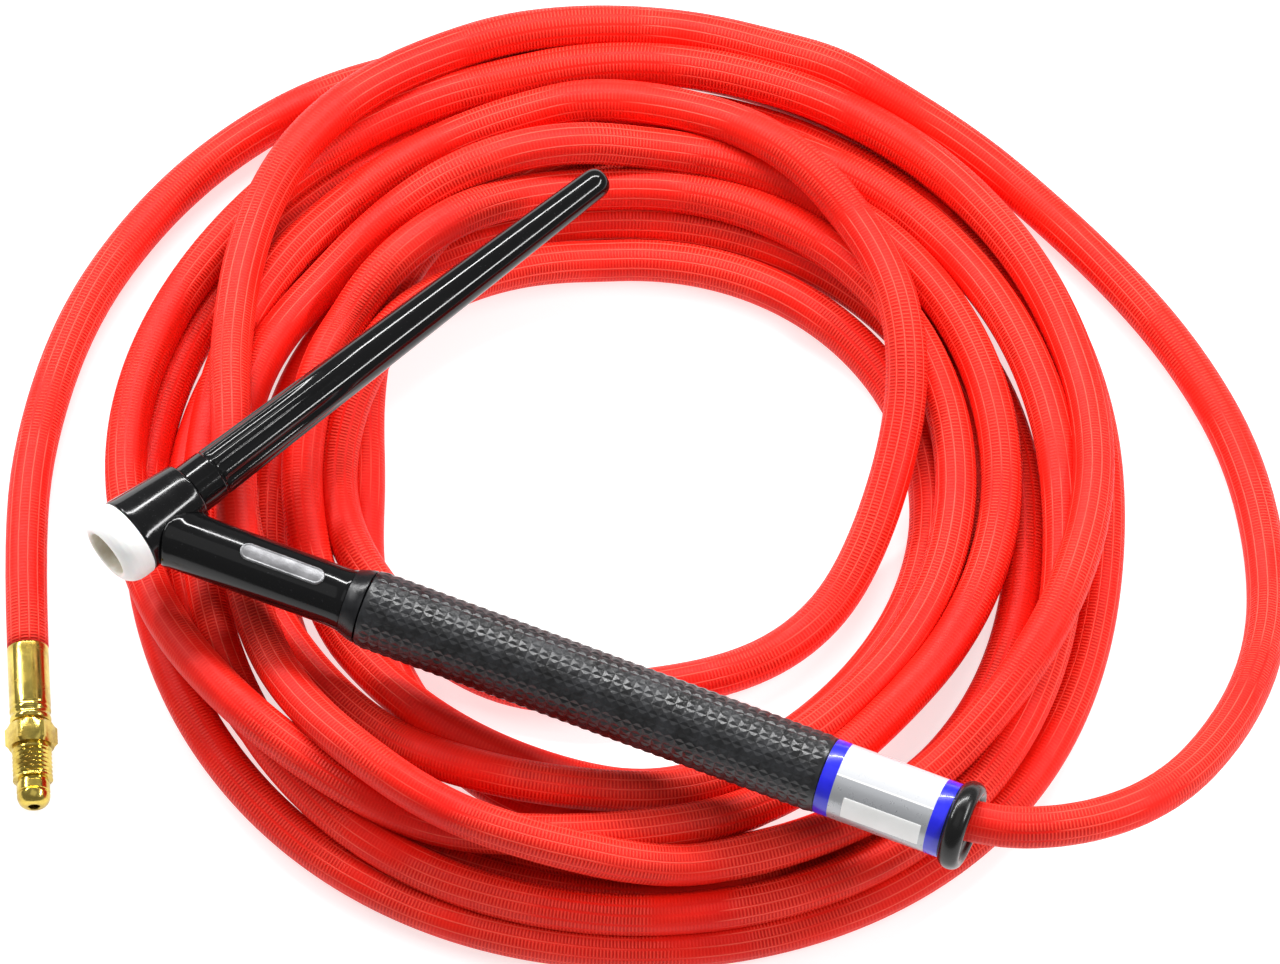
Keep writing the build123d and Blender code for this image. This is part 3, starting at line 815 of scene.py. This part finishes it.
def make_neck():
    """Soft sleeve in two halves over a bendable tube, and the blank badge on top."""
    finish = gloss_black("sleeve_gloss", 0.004, 0.09, 0.20)
    angles = [TURN * j / SLEEVE_COLUMNS for j in range(SLEEVE_COLUMNS)]
    wall = [(SLEEVE_BORE_R, 12.8), (BOSS_R + 0.25, 12.6), (BOSS_R + 0.25, None), (6.4, None),
            (7.5, None)]
    rings = [[point_at(NECK, SLEEVE_BORE_R, angle, NECK_SPLIT) for angle in angles]]
    for radius, at in wall:
        rings.append([])
        for angle in angles:
            place = leaves_jacket(radius, angle) if at is None else at
            rings[-1].append(point_at(NECK, radius, angle, place))
    lip = [(0.0, 8.15), (0.12, 8.4), (0.35, 8.56), (0.7, 8.62), (1.3, 8.6), (2.0, 8.5),
           (3.0, 8.42)]
    run = [k / 36 for k in range(1, 37)]
    for share, (past, radius) in [(0, item) for item in lip] + [(k, (3.0, SLEEVE_R)) for k in run]:
        rings.append([])
        for angle in angles:
            start = leaves_jacket(LIP_SEAT_R, angle) + past
            place = start + (NECK_SPLIT - start) * share
            rings[-1].append(point_at(NECK, radius, angle, place))
    along = [0.0]
    for here, after in zip(rings, rings[1:] + rings[:1]):
        along.append(along[-1] + (after[0] - here[0]).length)
    front = add("neck_sleeve_front", ring_mesh("neck_sleeve_front", rings, along, True), finish,
                None, ("neck_sleeve",), sharp=42)
    outline = [(NECK_SPLIT, SLEEVE_BORE_R), (NECK_SPLIT, SLEEVE_R),
               (SLEEVE_END - FLARE_LENGTH, SLEEVE_R)]
    outline += [(SLEEVE_END - FLARE_LENGTH + 0.8 * k, SLEEVE_R + FLARE_HEIGHT * (k / 6) ** 2)
                for k in range(1, 7)]
    outline += [(SLEEVE_END, SLEEVE_R + 0.3), (SLEEVE_END, SLEEVE_BORE_R)]
    mesh = turned("neck_sleeve_rear", outline, NECK, SLEEVE_COLUMNS, step=1.0)
    rear = add("neck_sleeve_rear", mesh, finish, None, ("neck_sleeve",), sharp=42)
    copper = plain("braided_copper", (0.72, 0.33, 0.17), 0.35, 1.0)
    tubes = []
    for name, start, end in (("flex_tube_front", 6.6, NECK_SPLIT),
                             ("flex_tube_rear", NECK_SPLIT, 66.0)):
        outline = [(start, 2.0), (start, 3.0), (end, 3.0), (end, 2.0)]
        mesh = turned(name, outline, NECK, 32, step=1.0)
        tubes.append(add(name, mesh, copper, None, ("neck_flex_tube",)))
    for piece in (front, tubes[0]):
        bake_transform(piece)
    for piece in (rear, tubes[1]):
        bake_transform(piece)
    levels = [(2.5, -0.1), (1.2, -0.1), (0, -0.1), (0, 0.28), (0.12, 0.44), (0.3, 0.5),
              (0.5, 0.5), (0.62, 0.40), (0.8, 0.38), (1.6, 0.38), (2.5, 0.38)]
    mesh = plate("blank_badge", NECK, SLEEVE_R, (40.6, 0.0), (24.5, 5.0), 2.5, levels)
    add("blank_badge", mesh, badge_metal(), "neck", ("neck_badge",), sharp=50)


# ---------------------------------------------------------------- handle
GRIP_START, GRIP_END, GRIP_BORE_R = 65.4, 199.0, 9.3
GRIP_VALLEY_R, GRIP_PEAK_R = 10.65, 10.87
STUDS_ALONG, STUDS_AROUND = 43, 28
GRIP_BORDER = 1.2


def make_grip():
    """Moulded rubber grip, covered in rows of blunt four-sided studs."""
    rows, columns = 2 * STUDS_ALONG, 2 * STUDS_AROUND
    length = GRIP_END - GRIP_START - 2 * GRIP_BORDER
    mesh = bmesh.new()

    def corner(at, turn, radius):
        return mesh.verts.new(point_at(NECK, radius, TURN * turn / STUDS_AROUND, at))

    def ring(at, radius):
        return [corner(at, j, radius) for j in range(STUDS_AROUND)]

    start, end = GRIP_START + GRIP_BORDER, GRIP_END - GRIP_BORDER
    valleys = [ring(start + length * i / STUDS_ALONG, GRIP_VALLEY_R)
               for i in range(STUDS_ALONG + 1)]
    step = length / STUDS_ALONG
    for i in range(STUDS_ALONG):
        for j in range(STUDS_AROUND):
            k = (j + 1) % STUDS_AROUND
            base = (valleys[i][j], valleys[i][k], valleys[i + 1][k], valleys[i + 1][j])
            at = start + step * i
            top = [corner(at + step * a, j + b, GRIP_PEAK_R)
                   for a, b in ((0.38, 0.38), (0.38, 0.62), (0.62, 0.62), (0.62, 0.38))]
            for side in range(4):
                after = (side + 1) % 4
                mesh.faces.new((base[side], base[after], top[after], top[side]))
            mesh.faces.new(top)
    front = [ring(at, radius) for at, radius in
             ((GRIP_START, GRIP_BORE_R), (GRIP_START, 10.3), (GRIP_START + 0.25, 10.6),
              (start - 0.35, 10.6))] + valleys[:1]
    rear = valleys[-1:] + [ring(at, radius) for at, radius in
                           ((end + 0.35, 10.6), (GRIP_END - 0.25, 10.6), (GRIP_END, 10.3),
                            (GRIP_END, GRIP_BORE_R))]
    bore = [rear[-1], front[0]]
    for rings in (front, rear, bore):
        for here, after in zip(rings, rings[1:]):
            for j in range(STUDS_AROUND):
                k = (j + 1) % STUDS_AROUND
                mesh.faces.new((here[j], here[k], after[k], after[j]))
    bmesh.ops.recalc_face_normals(mesh, faces=mesh.faces)
    data = bpy.data.meshes.new("knurled_grip")
    mesh.to_mesh(data)
    mesh.free()
    add("knurled_grip", data, grip_rubber(), "handle", ("handle_grip",), sharp=14)


LABEL_START, LABEL_END, LABEL_R, BAND = 199.2, 235.2, 10.45, 4.0
LABEL_HIGHLIGHT_ANGLE = math.radians(15)        # where the painted white reflection turns to the painted silver grey shade, along a painted highlight line
LABEL_SHADE_END = 0.60                # the share of a turn where the painted shade turns back to the white painted reflection
EDGE = 0.004                         # the share of a turn that such a change takes
STICKER_AT, STICKER_TURN = 218.3, math.radians(64)


def make_handle():
    """Flared collar, grip, label with its bands and blank sticker, and the end bead."""
    flare = [(60.2 + 4.0 * k / 8, 8.85 + 1.4 * smooth(k / 8, -0.35, 1.12)) for k in range(9)]
    outline = [(60.2, 3.4)] + flare + [(64.6, 10.3), (64.9, 10.25), (65.0, 10.1), (65.0, 4.5),
                                       (62.0, 4.5), (62.0, 3.4)]
    add("flared_collar", turned("flared_collar", outline, NECK, 96), satin_black(), "handle",
        ("neck_collar",), sharp=40)
    make_grip()

    inner = LABEL_R - 0.15
    outline = [(LABEL_START + BAND, inner), (LABEL_START + BAND, LABEL_R),
               (LABEL_END - BAND, LABEL_R), (LABEL_END - BAND, inner)]
    add("label_wrap", turned("label_wrap", outline, NECK, 128, step=3.0), label_foil(), "handle",
        ("handle_label", "label_film"))
    blue = glossy_print("band_blue", (0.012, 0.014, 0.74), (0.006, 0.008, 0.58), 0.4)
    for name, start in (("label_band_front", LABEL_START),
                        ("label_band_rear", LABEL_END - BAND)):
        outline = rounded([(start, inner), (start, LABEL_R + 0.03), (start + BAND, LABEL_R + 0.03),
                           (start + BAND, inner)], 0.04, 2)
        add(name, turned(name, outline, NECK, 128), blue, "handle",
            ("label_bands",))
    levels = [(3.5, -0.05), (1.7, -0.05), (0, -0.05), (0, 0.05), (0.05, 0.07), (0.6, 0.07),
              (1.2, 0.07), (1.8, 0.07), (2.4, 0.07), (3.0, 0.07), (3.5, 0.07)]
    mesh = plate("blank_sticker", NECK, LABEL_R, (STICKER_AT, STICKER_TURN), (22.4, 7.0), 0.35,
                 levels)
    add("blank_sticker", mesh, glossy_print("sticker_paper", (0.95, 0.95, 0.94),
                                            (0.88, 0.88, 0.86), 0.3), "handle")

    middle, half = 10.35, 2.15
    lip = CABLE_D / MM / 2 + 0.2
    outline = [(236.2, lip), (239.4, lip), (239.8, lip + 0.35), (239.95, 7.2)]
    outline += [(238.5 + 3.0 * math.cos(a), middle + half * math.sin(a))
                for a in (TURN * (k / 36 - 1 / 6) for k in range(31))]
    outline.append((236.4, 7.8))
    add("end_bead", turned("end_bead", outline, NECK, 128), bead_rubber("bead_black", 0.006),
        "handle", ("handle_end_ring",), sharp=0)


def finish_cad_nodes():
    """Finishes for the pieces that stay as the frame has them, most of them hidden inside."""
    finishes = {
        "brass": brass("plain_brass", False),
        "copper": plain("plain_copper", (0.72, 0.33, 0.17), 0.3, 1.0),
        "satin_black": satin_black(),
        "bush_nylon": plain("bush_nylon", (0.70, 0.68, 0.60), 0.5),
        "seal_rubber": bead_rubber("seal_black", 0.02),
    }
    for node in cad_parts.values():
        for slot in node.material_slots:
            if slot.material.name in finishes:
                slot.material = finishes[slot.material.name]


# ---------------------------------------------------------------- surroundings
FLOOR_SIDE = 8.0
LIGHT_AIM = Vector((0.12, 0.07, 0))
SOFTBOXES = (                        # name, place and size in metres, watts
    ("key", (-0.2, 0.80, 0.90), (1.3, 0.09), 19),
    ("fill", (1.0, 0.35, 0.85), (0.9, 0.12), 11),
    ("left", (-1.0, 0.35, 0.75), (0.9, 0.12), 12),
    ("top", (0.1, -0.3, 1.6), (1.2, 1.2), 2),
)


def make_stage():
    """A pale floor and soft studio light."""
    mesh = bpy.data.meshes.new("floor")
    half = FLOOR_SIDE / 2
    mesh.from_pydata([(-half, -half, FLOOR), (half, -half, FLOOR), (half, half, FLOOR),
                      (-half, half, FLOOR)], [], [(0, 1, 2, 3)])
    floor = bpy.data.objects.new("floor", mesh)
    bpy.context.scene.collection.objects.link(floor)
    paint = Paint("floor", (0.55, 0.55, 0.55), 0.9, Specular_IOR_Level=0.1,
                  Emission_Color=(1, 1, 1, 1), Emission_Strength=0.66)
    mesh.materials.append(paint.material)
    world = bpy.context.scene.world or bpy.data.worlds.new("world")
    bpy.context.scene.world = world
    world.use_nodes = True
    background = world.node_tree.nodes["Background"]
    background.inputs["Color"].default_value = (1, 1, 1, 1)
    background.inputs["Strength"].default_value = 0.26
    for box in SOFTBOXES:
        softbox(*box)


def softbox(name, place, size, power):
    """A rectangular light that faces the object, size in metres and power in watts."""
    data = bpy.data.lights.new(name, "AREA")
    data.shape = "RECTANGLE"
    data.size, data.size_y = size
    data.energy = power
    light = bpy.data.objects.new(name, data)
    bpy.context.scene.collection.objects.link(light)
    aim = LIGHT_AIM - Vector(place)
    light.location = place
    light.rotation_euler = aim.to_track_quat("-Z", "Y").to_euler()


make_camera()
make_cable(make_machine_end())
make_head()
make_cap()
make_neck()
make_handle()
finish_cad_nodes()
make_stage()
